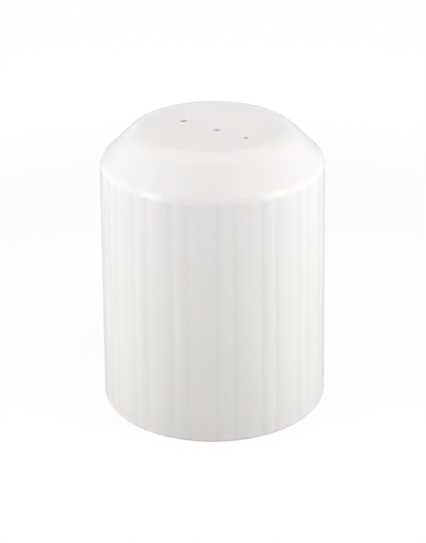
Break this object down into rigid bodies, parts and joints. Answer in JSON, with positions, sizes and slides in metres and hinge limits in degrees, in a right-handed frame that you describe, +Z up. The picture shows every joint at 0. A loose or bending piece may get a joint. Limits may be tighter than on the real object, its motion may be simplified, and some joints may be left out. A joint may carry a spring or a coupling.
{
  "type": "salt shaker",
  "caption": "Fluted porcelain salt shaker with a sloped shoulder and a row of pour holes in its flat top, filled through a hole in the base that a soft stopper closes.",
  "frame": {"origin": "middle of the foot ring's resting plane", "axes": "+Z up along the shaker's axis, -Y towards the front"},
  "size_m": [0.057, 0.0568, 0.072],
  "materials": {
    "glazed_porcelain": "gloss",
    "silicone": "matte"
  },
  "bodies": {
    "shaker": {"porcelain_body": "glazed_porcelain"},
    "stopper": {"base_stopper": "silicone"}
  },
  "joints": [
    {"name": "stopper_pull", "type": "slide", "parent": "shaker", "child": "stopper", "axis": [0, 0, -1], "range_m": [0, 0.022]}
  ]
}
